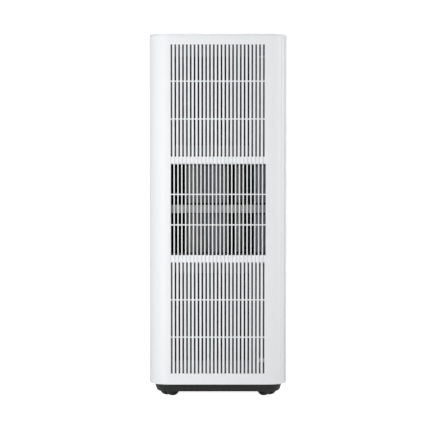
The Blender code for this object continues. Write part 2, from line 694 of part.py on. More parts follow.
def main():
    clear_scene()
    white = material("white_abs", "ECEEEF", 0.38)
    charcoal = material("charcoal_abs", "303131", 0.45)
    dark = material("dark_plastic", "3A3B3C", 0.50)
    duct_grey = material("duct_plastic", "8E9193", 0.55)
    rib_grey = material("rib_plastic", "BFC1C1", 0.50)
    filter_grey = material("filter_plastic", "5A5B5C", 0.55)
    mesh_grey = material("filter_mesh", "1D1E1E", 0.80)
    black = material("black_nylon", "161616", 0.50)
    button_grey = material("button_plastic", "C9CCCE", 0.40)
    lens = material("display_lens", "0C0D0F", 0.15)
    aluminium = material("aluminium_fins", "C4C7C9", 0.35, 1.0)
    steel = material("zinc_steel", "A9ACAE", 0.40, 1.0)
    enamel = material("compressor_enamel", "1B1C1D", 0.35)
    copper = material("copper_pipe", "B87345", 0.30, 1.0)

    build_shells(white)
    build_rear_panel(white)
    build_front(white)
    build_top(white)
    build_controls(dark, button_grey, lens)
    build_filter("upper", UPPER_FILTER, filter_grey, mesh_grey)
    build_filter("lower", LOWER_FILTER, filter_grey, mesh_grey)
    build_filter_bay(dark, rib_grey)
    build_air_guide(dark)
    build_coils(aluminium)
    build_compressor(enamel, copper)
    build_blower("upper", UPPER_AXIS, towards_front, duct_grey, black, steel)
    build_blower("lower", LOWER_AXIS, towards_top, duct_grey, black, steel)
    build_exhaust(duct_grey, white)
    build_outlet(white, dark)
    build_base(charcoal)
    build_casters(black, black)
    build_inside(duct_grey, steel)
    build_rear_fittings(button_grey, black)


main()
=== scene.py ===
"""Looks of a portable air conditioner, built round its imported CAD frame.

Frame: metres, +Z up, the outlet side faces -Y and the intake side with the grille faces -X.
"""

import json
import math

import bmesh
import bpy
from bpy.props import FloatProperty, IntProperty, PointerProperty, StringProperty
from mathutils import Matrix, Vector

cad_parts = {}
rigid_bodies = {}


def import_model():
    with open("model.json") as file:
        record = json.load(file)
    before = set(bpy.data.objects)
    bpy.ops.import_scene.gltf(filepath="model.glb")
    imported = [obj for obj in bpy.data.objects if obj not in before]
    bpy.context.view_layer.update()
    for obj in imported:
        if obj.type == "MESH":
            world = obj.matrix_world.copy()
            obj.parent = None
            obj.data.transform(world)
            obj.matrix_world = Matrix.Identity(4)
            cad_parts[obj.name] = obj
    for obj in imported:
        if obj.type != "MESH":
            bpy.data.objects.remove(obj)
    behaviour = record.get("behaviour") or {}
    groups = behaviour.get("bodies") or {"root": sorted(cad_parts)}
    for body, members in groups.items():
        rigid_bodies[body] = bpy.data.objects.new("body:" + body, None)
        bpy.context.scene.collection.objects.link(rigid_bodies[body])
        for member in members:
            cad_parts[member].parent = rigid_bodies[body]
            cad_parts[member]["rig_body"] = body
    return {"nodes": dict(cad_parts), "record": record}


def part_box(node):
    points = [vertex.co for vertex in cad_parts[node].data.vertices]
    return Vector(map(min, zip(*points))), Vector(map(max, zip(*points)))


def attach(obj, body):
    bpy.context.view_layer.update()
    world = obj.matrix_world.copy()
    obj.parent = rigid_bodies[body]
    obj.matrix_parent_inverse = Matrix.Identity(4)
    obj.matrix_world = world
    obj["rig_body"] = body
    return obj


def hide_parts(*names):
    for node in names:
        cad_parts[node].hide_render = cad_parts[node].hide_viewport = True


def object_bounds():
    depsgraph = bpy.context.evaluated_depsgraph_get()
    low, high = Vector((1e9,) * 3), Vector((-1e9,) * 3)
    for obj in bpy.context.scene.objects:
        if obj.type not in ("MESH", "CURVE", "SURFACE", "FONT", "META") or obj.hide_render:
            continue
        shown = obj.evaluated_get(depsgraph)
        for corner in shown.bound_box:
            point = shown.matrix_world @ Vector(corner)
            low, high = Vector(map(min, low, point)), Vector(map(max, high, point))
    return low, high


bl_info = {
    "name": "Portable Air Conditioner",
    "version": (1, 0, 0),
    "blender": (4, 5, 0),
    "location": "View3D > Sidebar > Air Conditioner",
    "description": "Builds the visible pieces and finishes of a portable air conditioner",
    "category": "Object",
}

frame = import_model()
CAD_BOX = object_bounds()
NODES = frame["nodes"]
JOINTS = {joint["name"]: joint for joint in frame["record"]["behaviour"]["joints"]}
MM = 0.001
X, Y, Z = Vector((1, 0, 0)), Vector((0, 1, 0)), Vector((0, 0, 1))
FINISHES = {}

# Heights of the slot groups over the floor: bottom, top and the middles of the two cross bars
GROUPS = {
    "upper": (0.5054, 0.7379, (0.5835, 0.6620)),
    "window": (0.2998, 0.4903, (0.3630, 0.4267)),
    "lower": (0.0516, 0.2844, (0.1280, 0.2062)),
}
# Convex guides behind the middle slots: rear and front edges along Y, and how far they stand back
GUIDES = ((0.066, 0.0190, 0.0), (0.0180, -0.0230, 0.0), (-0.0360, -0.0520, 0.018))
CASTERS = ("front_left", "front_right", "rear_left", "rear_right")
KEYS = ("power", "mode", "speed", "timer")
WHEEL_HUB = 11 * MM         # radius of the blower wheel's hub
BLADE_DEPTH = 11 * MM       # radial depth of its blades
INLET_RADIUS = 56 * MM      # radius of the scroll housing's inlet
CASTER_TREAD = 10.5 * MM    # width of one caster wheel
HOOD_WIDTH = 28 * MM        # width of the hood over both wheels
SOFTBOX_DISTANCE = 1.6      # metres from the middle of the machine
# Softboxes: degrees from the intake side to the rear, degrees up, and watts
SOFTBOXES = ((-80, 2, 14.0), (12, 2, 5.0), (28, 2, 5.0), (38, 2, 5.5), (52, 2, 2.0), (150, 15, 4.5),
             (-150, 15, 9.0), (0, 90, 12.0))


# ---- settings

def length(name, description, millimetres):
    return FloatProperty(name=name, description=description, default=millimetres * MM, unit="LENGTH")


def colour(name, thing, value):
    return StringProperty(name=name, description="sRGB hex colour of " + thing, default=value)


class GrilleSettings(bpy.types.PropertyGroup):
    slot_count: IntProperty(name="Slots", description="Slots side by side in each group", default=25)
    slot_pitch: length("Slot pitch", "Distance between slot middles", 8.0)
    slot_width: length("Filter slot width", "Width of the slots over the filters", 3.4)
    window_width: length("Window slot width", "Width of the middle slots", 5.4)
    window_shift: length("Window slot shift", "The middle slots lie this far to the front", 1.3)
    grille_shift: length("Grille shift", "The grille lies this far to the rear", 1.3)
    land_round: length("Land rounding", "Rounding of the lands between the slots", 0.6)
    bar_height: length("Bar height", "Height of the cross bars", 2.5)
    bar_recess: length("Bar recess", "The cross bars lie this far behind the face", 0.6)
    band_recess: length("Band recess", "Depth of the blind grooves between the groups", 1.7)
    wall: length("Wall", "Wall thickness of the shells", 2.5)
    corner: length("Corner radius", "Radius of the vertical corners", 42.0)
    net_pitch: length("Net pitch", "Distance between the threads of the filter nets", 1.5)


class InsideSettings(bpy.types.PropertyGroup):
    fin_pitch: length("Fin pitch", "Distance between the fins of the coils", 1.8)
    tube_pitch: length("Tube pitch", "Height between the tubes of the coils", 20.0)
    tube_width: length("Tube width", "Outer diameter of the coil tubes", 7.0)
    blade_count: IntProperty(name="Blades", description="Blades of each blower wheel", default=40)


class FinishSettings(bpy.types.PropertyGroup):
    cabinet: colour("Cabinet", "the moulded cabinet", "ECEEF0")
    base: colour("Base", "the base skirt", "1B1C1C")
    inside: colour("Inside", "the inner mouldings", "4A4C4E")
    keys: colour("Keys", "the push buttons", "D3D6D8")


class StudioSettings(bpy.types.PropertyGroup):
    distance: FloatProperty(name="Camera distance", description="From the intake side to the camera",
                            default=3.468, unit="LENGTH")
    height: FloatProperty(name="Camera height", description="Camera height over the floor",
                          default=0.533, unit="LENGTH")
    aside: FloatProperty(name="Camera aside", description="Camera place to the rear of the middle",
                         default=0.0048, unit="LENGTH")
    tilt: FloatProperty(name="Camera tilt", description="How far the camera looks down",
                        default=math.radians(2.5), subtype="ANGLE")
    lens: FloatProperty(name="Lens", description="Focal length in mm on a 36 mm sensor", default=138.8)
    horizon: FloatProperty(name="Horizon", description="Strength of the light from level directions",
                           default=0.09)
    zenith: FloatProperty(name="Zenith", description="Strength of the light from above", default=0.3)
    ground: FloatProperty(name="Ground", description="Strength of the light from below", default=0.80)
    floor_glow: FloatProperty(name="Floor glow", description="Light that the floor gives by itself",
                              default=0.97)


# ---- materials

def linear(hex_colour):
    """sRGB hex to linear red, green and blue."""
    values = [int(hex_colour[i:i + 2], 16) / 255.0 for i in (0, 2, 4)]
    return [v / 12.92 if v <= 0.04045 else ((v + 0.055) / 1.055) ** 2.4 for v in values]


def add(tree, kind, settings=None, *sources, **links):
    """Add a node, set its values by attribute or input, and link its inputs by place or by name."""
    made = tree.nodes.new("ShaderNode" + kind)
    for name, value in (settings or {}).items():
        if isinstance(name, str) and hasattr(made, name):
            setattr(made, name, value)
        else:
            made.inputs[name].default_value = value
    for place, source in list(enumerate(sources)) + list(links.items()):
        key = place if isinstance(place, int) else place.replace("_", " ")
        tree.links.new(source, made.inputs[key])
    return made


def per_mm(size_mm):
    """Noise scale whose features are about this many millimetres."""
    return 1.0 / (size_mm * MM)


def finish(name, hex_colour, roughness, metallic=0.0, grain_mm=0.9, depth_mm=0.02, tint=0.04,
           stretch=(1, 1, 1), spread=0.05, **sockets):
    """A surface with fine grain in its bump and sheen, and a slow drift of tone over it."""
    made = bpy.data.materials.new(name)
    made.use_nodes = True
    tree = made.node_tree
    shader = tree.nodes["Principled BSDF"]
    shader.inputs["Metallic"].default_value = metallic
    for socket, value in sockets.items():
        shader.inputs[socket.replace("_", " ")].default_value = value
    place = add(tree, "TexCoord").outputs["Object"]
    laid = add(tree, "Mapping", {"Scale": stretch}, Vector=place).outputs["Vector"]
    grain = add(tree, "TexNoise", {"Scale": per_mm(grain_mm), "Detail": 3.0, "Roughness": 0.6}, Vector=laid)
    drift = add(tree, "TexNoise", {"Scale": per_mm(60.0), "Detail": 2.0}, Vector=place)
    base = linear(hex_colour)
    darker = (*[c * (1.0 - tint) for c in base], 1.0)
    lighter = (*[min(1.0, c * (1.0 + tint)) for c in base], 1.0)
    tone = add(tree, "Mix", {"data_type": "RGBA", 6: darker, 7: lighter}, drift.outputs["Fac"])
    tree.links.new(tone.outputs[2], shader.inputs["Base Color"])
    sheen = add(tree, "MapRange", {"From Min": 0.3, "From Max": 0.7, "To Min": max(0.02, roughness - spread),
                                   "To Max": min(1.0, roughness + spread)}, grain.outputs["Fac"])
    tree.links.new(sheen.outputs["Result"], shader.inputs["Roughness"])
    bump = add(tree, "Bump", {"Strength": 1.0, "Distance": depth_mm * MM}, Height=grain.outputs["Fac"])
    tree.links.new(bump.outputs["Normal"], shader.inputs["Normal"])
    FINISHES[name] = made
    return made


def make_finishes(colours):
    # moulded ABS from a spark-eroded tool: satin white, its grain only just breaks the highlight
    finish("moulded_white_abs", colours.cabinet, 0.42, grain_mm=0.9, depth_mm=0.008, tint=0.006)
    # the same moulding in charcoal: a soft grey sheen along the skirt's rounding
    finish("moulded_charcoal_abs", colours.base, 0.42, grain_mm=0.9, depth_mm=0.020, tint=0.05,
           Specular_IOR_Level=0.35)
    # inner mouldings, as they come out of the tool: darker and a little duller
    finish("inner_grey_abs", colours.inside, 0.48, grain_mm=1.2, depth_mm=0.020, tint=0.06)
    # air guides behind the middle slots: smooth mid grey, so their curve shows as a gradient
    finish("guide_grey_abs", "66686A", 0.45, grain_mm=1.5, depth_mm=0.010, tint=0.04)
    # near-black lining: painted shade standing in for the dark of the deep cavity behind the middle slots,
    # also used as the bay frame's black; gives back almost nothing
    finish("shade_black_abs", "080808", 0.80, grain_mm=1.0, depth_mm=0.020, tint=0.10, Specular_IOR_Level=0.15)
    # natural grey polypropylene of ducts and scrolls: waxy, slightly clouded
    finish("duct_polypropylene", "8E9193", 0.50, grain_mm=3.0, depth_mm=0.030, tint=0.05)
    # pale cross rib: plain ABS, a little duller than the cabinet
    finish("rib_pale_abs", "9FA1A1", 0.50, grain_mm=1.2, depth_mm=0.015, tint=0.03)
    # filter frames in flexible polypropylene: dark grey, waxy
    finish("filter_polypropylene", "3C3D3E", 0.50, grain_mm=1.5, depth_mm=0.020, tint=0.05)
    # pull tabs in undyed polypropylene: milky
    finish("tab_polypropylene", "9A9C9C", 0.45, grain_mm=1.0, depth_mm=0.015, tint=0.03)
    # woven nylon yarn: dull, nearly black; the same near-black on the solid backing sheet is also painted
    # shade behind the net
    finish("woven_nylon_and_shade", "1B1B1C", 0.70, grain_mm=0.5, depth_mm=0.050, tint=0.20, Specular_IOR_Level=0.25)
    # glass-filled nylon of forks and blower wheels: black with a dry, grey bloom
    finish("glass_filled_nylon", "101011", 0.50, grain_mm=0.8, depth_mm=0.025, tint=0.15)
    # polyurethane tread: matt black, scuffed
    finish("tread_polyurethane", "0A0A0B", 0.65, grain_mm=1.6, depth_mm=0.040, tint=0.20, spread=0.12)
    # double-shot ABS keys: smooth and pale
    finish("key_abs", colours.keys, 0.35, grain_mm=0.7, depth_mm=0.006, tint=0.02)
    # smoked acrylic, polished: deep black with a sharp reflection
    finish("smoked_acrylic", "08090B", 0.06, grain_mm=5.0, depth_mm=0.002, tint=0.1, spread=0.02)
    # aluminium fin stock: bright stamped foil, streaked along the fins
    finish("fin_aluminium", "C9CCCE", 0.32, 1.0, grain_mm=1.0, depth_mm=0.02, tint=0.08, stretch=(1, 1, 0.05))
    # zinc-plated pressed steel: cool grey, mottled by the plating
    finish("zinc_plated_steel", "B4B8BB", 0.36, 1.0, grain_mm=2.5, depth_mm=0.015, tint=0.10)
    # baked enamel over a drawn can: black, with a wet highlight over orange peel
    finish("baked_black_enamel", "161718", 0.22, grain_mm=2.0, depth_mm=0.020, tint=0.10)
    # drawn copper tube, a little tarnished
    finish("drawn_copper", "B57C5C", 0.30, 1.0, grain_mm=1.5, depth_mm=0.010, tint=0.15)
    # closed-cell foam strip: matt and pitted
    finish("foam_strip", "3B3C3D", 0.90, grain_mm=0.7, depth_mm=0.15, tint=0.10)
    # moulded rubber of grommets and plugs' lips: soft, dusty black
    finish("moulded_rubber", "202021", 0.75, grain_mm=1.0, depth_mm=0.03, tint=0.12)


# ---- mesh helpers

def block(shape, low, high, rounding=0.0, segments=2):
    """A box between two corners, its edges rounded."""
    low, high = Vector(low), Vector(high)
    place = Matrix.Translation((low + high) / 2) @ Matrix.Diagonal((*(high - low), 1.0))
    verts = bmesh.ops.create_cube(shape, size=1.0, matrix=place)["verts"]
    if rounding:
        round_edges(shape, {e for v in verts for e in v.link_edges}, rounding, segments)


def turned(shape, profile, centre, axis, steps=48):
    """Spin a profile of (radius, height) about an axis; it is closed unless it starts on the axis."""
    axis, centre = Vector(axis), Vector(centre)
    side = axis.orthogonal().normalized()
    verts = [shape.verts.new(centre + side * radius + axis * height) for radius, height in profile]
    pairs = list(zip(verts, verts[1:]))
    if profile[0][0] > 0.0:
        pairs.append((verts[-1], verts[0]))
    edges = [shape.edges.new(pair) for pair in pairs]
    made = bmesh.ops.spin(shape, geom=verts + edges, cent=centre, axis=axis, angle=2.0 * math.pi,
                          steps=steps, use_merge=True)
    bmesh.ops.remove_doubles(shape, verts=shape.verts, dist=1e-6)
    return made


def extruded(shape, outline, travel):
    """A flat outline of points in space, filled and pulled along a vector."""
    face = shape.faces.new([shape.verts.new(point) for point in outline])
    pulled = bmesh.ops.extrude_face_region(shape, geom=[face], use_keep_orig=True)["geom"]
    moved = [part for part in pulled if isinstance(part, bmesh.types.BMVert)]
    bmesh.ops.translate(shape, verts=moved, vec=travel)


def rod(shape, start, end, radius, sides=16):
    """A closed round bar between two points."""
    start, end = Vector(start), Vector(end)
    along = end - start
    place = Matrix.Translation((start + end) / 2) @ along.to_track_quat("Z", "Y").to_matrix().to_4x4()
    bmesh.ops.create_cone(shape, cap_ends=True, segments=sides, radius1=radius, radius2=radius,
                          depth=along.length, matrix=place)


def bend(shape, centre, radius, tube, axis, start, angle=math.pi, sides=12, steps=10):
    """Part of a ring of round tube: a circle at start, spun about an axis."""
    axis, start = Vector(axis), Vector(start)
    heading = axis.cross(start).normalized()
    place = Matrix.Translation(Vector(centre) + start * radius)
    place = place @ heading.to_track_quat("Z", "Y").to_matrix().to_4x4()
    circle = bmesh.ops.create_circle(shape, segments=sides, radius=tube, cap_ends=False,
                                     matrix=place)["verts"]
    edges = {e for v in circle for e in v.link_edges}
    bmesh.ops.spin(shape, geom=list(circle) + list(edges), cent=centre, axis=axis, angle=angle, steps=steps)


def round_x(angle):
    """The direction at an angle round the X axis, from +Y towards +Z."""
    return Vector((0.0, math.cos(angle), math.sin(angle)))


def round_edges(shape, edges, width, segments=2):
    bmesh.ops.bevel(shape, geom=list(edges), offset=width, offset_type="OFFSET", segments=segments,
                    profile=0.5, affect="EDGES", material=-1, clamp_overlap=True)


def sharp(shape, degrees=40.0):
    limit = math.radians(degrees)
    return [e for e in shape.edges if len(e.link_faces) == 2 and e.calc_face_angle(0.0) > limit]


def screw_head(shape, place, axis, radius=3.2 * MM):
    """A pan head with a hexagon socket, standing on place and facing along axis."""
    axis, place = Vector(axis), Vector(place)
    height = radius * 0.7
    profile = [(0.0, height * 0.45), (radius * 0.42, height * 0.45), (radius * 0.42, height),
               (radius * 0.70, height * 0.96), (radius, height * 0.45), (radius, 0.0), (0.0, 0.0)]
    turned(shape, profile, place, axis, 12)


def piece(name, shape, body, surface, replaces=(), smooth=35.0):
    """Finish a mesh: normals, shading, material, and its place in the frame."""
    bmesh.ops.recalc_face_normals(shape, faces=shape.faces)
    mesh = bpy.data.meshes.new(name)
    shape.to_mesh(mesh)
    shape.free()
    mesh.materials.append(FINISHES[surface])
    mesh.shade_smooth()
    mesh.set_sharp_from_angle(angle=math.radians(smooth))
    made = bpy.data.objects.new(name, mesh)
    bpy.context.collection.objects.link(made)
    # large flat faces keep their own direction, so only the rounded edges shade as curves
    made.modifiers.new("flat_faces", "WEIGHTED_NORMAL").keep_sharp = True
    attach(made, body)
    if replaces:
        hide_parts(*replaces)
    return made


def body_of(node):
    return NODES[node]["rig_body"]


def refined(node, width, surface, segments=2, degrees=40.0):
    """A CAD node with its edges rounded as the moulding's are."""
    shape = bmesh.new()
    shape.from_mesh(NODES[node].data)
    bmesh.ops.remove_doubles(shape, verts=shape.verts, dist=2e-6)
    bmesh.ops.dissolve_limit(shape, angle_limit=math.radians(0.6), verts=shape.verts, edges=shape.edges)
    if width:
        round_edges(shape, sharp(shape, degrees), width, segments)
    return piece(node + "_moulding", shape, body_of(node), surface, (node,))


# ---- intake side

def slot_middles(grille, window):
    shift = grille.grille_shift - (grille.window_shift if window else 0.0)
    first = -(grille.slot_count - 1) / 2
    return [shift + (first + i) * grille.slot_pitch for i in range(grille.slot_count)]


def side_sheet(side, node, corner, steps=14):
    """The outer skin of a side: its plan outline pulled up, one tall face between the corners."""
    low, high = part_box(node)
    face_x = side * CAD_BOX[1].x
    centre_x = face_x - side * corner
    centre_front = CAD_BOX[0].y + corner
    centre_rear = CAD_BOX[1].y - corner
    reach = math.asin((centre_front - low.y) / corner)
    plan = []
    for i in range(steps + 1):
        angle = reach * (1.0 - i / steps)
        plan.append((centre_x + side * corner * math.cos(angle), centre_front - corner * math.sin(angle)))
    for i in range(steps + 1):
        angle = math.pi / 2 * i / steps
        plan.append((centre_x + side * corner * math.cos(angle), centre_rear + corner * math.sin(angle)))
    shape = bmesh.new()
    verts = [shape.verts.new((x, y, low.z)) for x, y in plan]
    edges = [shape.edges.new(pair) for pair in zip(verts, verts[1:])]
    pulled = bmesh.ops.extrude_edge_only(shape, edges=edges)["geom"]
    moved = [part for part in pulled if isinstance(part, bmesh.types.BMVert)]
    bmesh.ops.translate(shape, verts=moved, vec=Z * (high.z - low.z))
    return shape, face_x


def thicken(shape, wall, outward):
    """Give a skin its thickness inwards; outward is a direction that its faces have on the whole."""
    bmesh.ops.recalc_face_normals(shape, faces=shape.faces)
    if sum(f.normal.dot(outward) for f in shape.faces) < 0:
        bmesh.ops.reverse_faces(shape, faces=shape.faces)
    bmesh.ops.solidify(shape, geom=shape.faces, thickness=wall)


def cut_at(shape, chosen, point, normal):
    """Split the chosen faces along a plane."""
    faces = [f for f in shape.faces if chosen(f.calc_center_median())]
    geom = faces + list({e for f in faces for e in f.edges}) + list({v for f in faces for v in f.verts})
    bmesh.ops.bisect_plane(shape, geom=geom, dist=1e-7, plane_co=point, plane_no=normal)


def build_side_cover(grille):
    shape, face_x = side_sheet(-1, "side_grille_cover", grille.corner)
    narrow = slot_middles(grille, False)
    wide = slot_middles(grille, True)
    window_low, window_high = GROUPS["window"][:2]
    grille_low, grille_high = GROUPS["lower"][0], GROUPS["upper"][1]

    def flat(point):
        return abs(point.x - face_x) < 1e-5

    for height in (grille_low, window_low, window_high, grille_high):
        cut_at(shape, flat, (0, 0, height), Z)
    spans = ((narrow, grille.slot_width, grille_low, window_low),
             (wide, grille.window_width, window_low, window_high),
             (narrow, grille.slot_width, window_high, grille_high))
    for middles, width, low, high in spans:
        def in_span(point, low=low, high=high):
            return flat(point) and low < point.z < high
        for middle in middles:
            for edge in (middle - width / 2, middle + width / 2):
                cut_at(shape, in_span, (0, edge, 0), Y)
        centres = [(face, face.calc_center_median()) for face in shape.faces]
        doomed = [face for face, point in centres
                  if in_span(point) and any(abs(point.y - m) < width / 2 for m in middles)]
        bmesh.ops.delete(shape, geom=doomed, context="FACES")
    thicken(shape, grille.wall, -X)

    def on_face(edge):
        return all(abs(v.co.x - face_x) < 1e-5 and grille_low - 1e-4 < v.co.z < grille_high + 1e-4
                   for v in edge.verts)

    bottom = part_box("side_grille_cover")[0].z
    edges = sharp(shape)
    rim = [e for e in edges if on_face(e)]
    foot = [e for e in edges if all(abs(v.co.z - bottom) < 1e-5 for v in e.verts)]
    round_edges(shape, rim, grille.land_round, 3)
    round_edges(shape, [e for e in foot if e.is_valid], 1.1 * MM, 3)
    piece("side_grille_skin", shape, "side_cover", "moulded_white_abs", ("side_grille_cover",))

    bars = bmesh.new()
    left = min(wide) - grille.window_width
    right = max(narrow) + grille.slot_width
    back = face_x + grille.wall - 0.2 * MM
    for bottom, top, middles in GROUPS.values():
        for middle in middles:
            half = grille.bar_height / 2
            block(bars, (face_x + grille.bar_recess, left, middle - half),
                  (back, right, middle + half), 0.5 * MM)
    for bottom, top in ((GROUPS["lower"][1], window_low), (window_high, GROUPS["upper"][0])):
        block(bars, (face_x + grille.band_recess, left, bottom), (back, right, top))
    piece("side_grille_bars", bars, "side_cover", "moulded_white_abs")
    build_cover_inside(face_x + grille.wall)


def build_cover_inside(back):
    """Hooks and filter rails on the back of the cover."""
    low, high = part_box("side_grille_cover")
    inside = bmesh.new()
    for y in (-0.086, 0.0, 0.086):
        for z, side in ((high.z - 12 * MM, 1), (low.z + 9 * MM, -1)):
            hook = ((0, 0), (8, 0), (9.5, 1.6), (9.5, 3.2), (6.5, 1.6), (0, 1.6))
            outline = [(back - 0.2 * MM + a * MM, y - 7 * MM, z + side * b * MM) for a, b in hook]
            extruded(inside, outline, Y * 14 * MM)
    for name in ("upper", "lower"):
        frame_low, frame_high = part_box(name + "_filter_frame")
        for y in (frame_low.y - 2.0 * MM, frame_high.y + 0.5 * MM):
            block(inside, (back - 0.2 * MM, y, frame_low.z + 4 * MM),
                  (frame_high.x + 1.5 * MM, y + 1.5 * MM, frame_high.z - 4 * MM), 0.3 * MM)
    piece("side_cover_hooks_and_rails", inside, "side_cover", "moulded_white_abs")


def build_filters(grille):
    for name in ("upper", "lower"):
        refined(name + "_filter_frame", 0.5 * MM, "filter_polypropylene")
        low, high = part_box(name + "_filter_mesh")
        frame_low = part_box(name + "_filter_frame")[0]
        net = bmesh.new()
        pitch, thread = grille.net_pitch, 0.40 * MM
        front, back = low.x, low.x + 2 * thread
        for i in range(int((high.y - low.y) / pitch)):
            y = low.y + (i + 0.5) * pitch
            block(net, (front, y - thread / 2, low.z), (front + thread, y + thread / 2, high.z))
        for i in range(int((high.z - low.z) / pitch)):
            z = low.z + (i + 0.5) * pitch
            block(net, (front + thread, low.y, z - thread / 2), (back, high.y, z + thread / 2))
        piece(name + "_filter_net", net, "side_cover", "woven_nylon_and_shade")
        # solid near-black sheet: the net's fine weave, and painted shade for the dark space behind the filter
        sheet = bmesh.new()
        block(sheet, (back, low.y, low.z), (high.x, high.y, high.z))
        piece(name + "_filter_shade_backing", sheet, "side_cover", "woven_nylon_and_shade",
              (name + "_filter_mesh",))
        tab = bmesh.new()
        z, size = (high.z - 3.0 * MM, 2.8 * MM) if name == "upper" else (low.z - 3.0 * MM, 8.0 * MM)
        block(tab, (frame_low.x - 0.3 * MM, frame_low.y + 1.5 * MM, z),
              (frame_low.x + 1.0 * MM, frame_low.y + 18.5 * MM, z + size), 0.4 * MM)
        piece(name + "_filter_tab", tab, "side_cover", "tab_polypropylene")


def build_window():
    """The lining, the convex guides and the cross rib behind the middle slots."""
    refined("filter_bay_frame", 0.6 * MM, "shade_black_abs")
    low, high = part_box("window_air_guide")
    rib_low, rib_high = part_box("cross_rib")
    # near-black lining and shelves: painted shade for the deep cavity behind the middle slots
    lining = bmesh.new()
    block(lining, (high.x - 3 * MM, low.y, low.z), high, 0.5 * MM)
    for z in (low.z, high.z - 2 * MM):
        block(lining, (low.x + 4 * MM, low.y, z), (high.x - 2 * MM, high.y, z + 2 * MM), 0.3 * MM)
    piece("window_shade_lining", lining, "cabinet", "shade_black_abs", ("window_air_guide",))

    guides = bmesh.new()
    shelves = ((low.z + 1.0 * MM, rib_low.z - 3.0 * MM), (rib_high.z + 3.0 * MM, high.z - 1.0 * MM))
    steps = 20
    front = low.x
    for bottom, top in shelves:
        for rear_edge, front_edge, set_back in GUIDES:
            middle, half = (rear_edge + front_edge) / 2, (rear_edge - front_edge) / 2
            outline = [(high.x - 2.5 * MM, rear_edge, bottom)]
            for i in range(steps + 1):
                turn = math.pi * i / steps
                x = front + set_back + 7.0 * MM * (1.0 - math.sin(turn)) + 5.0 * MM * i / steps
                outline.append((x, middle + half * math.cos(turn), bottom))
            outline.append((high.x - 2.5 * MM, front_edge, bottom))
            extruded(guides, outline, Z * (top - bottom))
        block(guides, (front, low.y + 1.5 * MM, bottom), (high.x - 2.5 * MM, -0.0770, top), 1.5 * MM, 3)
    piece("window_air_guides", guides, "cabinet", "guide_grey_abs", smooth=30.0)

    rib = bmesh.new()
    outline = []
    for i in range(13):
        y = rib_high.y - (rib_high.y - rib_low.y) * i / 12
        sweep = max(0.0, (0.010 - y) / 0.115) ** 2 * 8.0 * MM
        outline.append((rib_low.x + sweep, y, rib_low.z))
    outline += [(x + 3.5 * MM, y, z) for x, y, z in reversed(outline)]
    extruded(rib, outline, Z * (rib_high.z - rib_low.z))
    round_edges(rib, [e for e in sharp(rib) if abs((e.verts[0].co - e.verts[1].co).z) < 1e-6], 1.2 * MM, 3)
    piece("window_cross_rib", rib, "cabinet", "rib_pale_abs", ("cross_rib",))


# ---- shells

def build_shells(grille):
    shape = side_sheet(1, "left_side_shell", grille.corner)[0]
    thicken(shape, grille.wall, X)
    round_edges(shape, sharp(shape, 60.0), 0.6 * MM, 3)
    piece("left_side_skin", shape, "cabinet", "moulded_white_abs", ("left_side_shell",))
    for node, width in (("rear_panel", 0.5), ("top_cover", 0.4), ("front_frame", 0.5), ("front_plate", 0.5)):
        refined(node, width * MM, "moulded_white_abs")


# ---- cooling circuit

def build_coil(node, inside):
    """Fins on rows of copper tube, between two end plates, with return bends outside them."""
    low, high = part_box(node)
    plate = 1.2 * MM
    fins = bmesh.new()
    count = int((high.y - low.y - 2 * plate) / inside.fin_pitch)
    for i in range(count):
        y = low.y + plate + (i + 0.5) * inside.fin_pitch
        block(fins, (low.x + 1 * MM, y, low.z + 2 * MM), (high.x - 1 * MM, y + 0.25 * MM, high.z - 2 * MM))
    piece(node + "_fins", fins, "cabinet", "fin_aluminium", (node,))
    plates = bmesh.new()
    for y in (low.y, high.y - plate):
        block(plates, (low.x, y, low.z), (high.x, y + plate, high.z), 0.3 * MM)
    piece(node + "_end_plates", plates, "cabinet", "zinc_plated_steel")
    tubes = bmesh.new()
    radius = inside.tube_width / 2
    columns = (low.x + 8.5 * MM, high.x - 8.5 * MM)
    rows = int((high.z - low.z) / inside.tube_pitch)
    first = (low.z + high.z) / 2 - (rows - 1) / 2 * inside.tube_pitch
    for column in columns:
        for i in range(rows):
            z = first + i * inside.tube_pitch
            rod(tubes, (column, low.y - 0.5 * MM, z), (column, high.y + 0.5 * MM, z), radius, 12)
        for i in range(rows - 1):
            side = high.y + 0.5 * MM if i % 2 else low.y - 0.5 * MM
            out = -X if i % 2 else X
            bend(tubes, (column, side, first + (i + 0.5) * inside.tube_pitch), inside.tube_pitch / 2,
                 radius, out, Z)
    piece(node + "_tubes", tubes, "cabinet", "drawn_copper", smooth=60.0)


def build_compressor():
    low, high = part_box("compressor")
    centre = (low + high) / 2
    radius = (high.x - low.x) / 2
    height = high.z - low.z
    base = Vector((centre.x, centre.y, low.z))
    can = bmesh.new()
    profile = [(0.0, 0.0), (radius * 0.68, 0.0), (radius * 0.90, 4 * MM), (radius * 0.985, 14 * MM)]
    seam = height * 0.42
    profile += [(radius * 0.985, seam - 2 * MM), (radius, seam - 1 * MM), (radius, seam + 1 * MM),
                (radius * 0.985, seam + 2 * MM)]
    for i in range(9):
        turn = math.pi / 2 * i / 8
        profile.append((radius * 0.985 * math.cos(turn), height - 34 * MM + 34 * MM * math.sin(turn)))
    turned(can, profile[:-1] + [(0.0, height)], base, Z, 56)
    piece("compressor_can", can, "cabinet", "baked_black_enamel", ("compressor",), 50.0)
    fittings = bmesh.new()
    for i in range(3):
        turn = math.radians(90 + 120 * i)
        out = Vector((math.cos(turn), math.sin(turn), 0))
        spot = base + out * (radius * 0.80)
        turned(fittings, [(3 * MM, -6.5 * MM), (7 * MM, -6.5 * MM), (8 * MM, -3 * MM), (7 * MM, 0.2 * MM),
                          (3 * MM, 0.2 * MM)], spot, Z, 20)
    piece("compressor_grommets", fittings, "cabinet", "moulded_rubber")
    cover = bmesh.new()
    face = base.y - radius
    block(cover, (base.x - 17 * MM, face - 7 * MM, base.z + 120 * MM),
          (base.x + 17 * MM, face + 12 * MM, base.z + 158 * MM), 3 * MM, 3)
    piece("compressor_terminal_cover", cover, "cabinet", "inner_grey_abs")


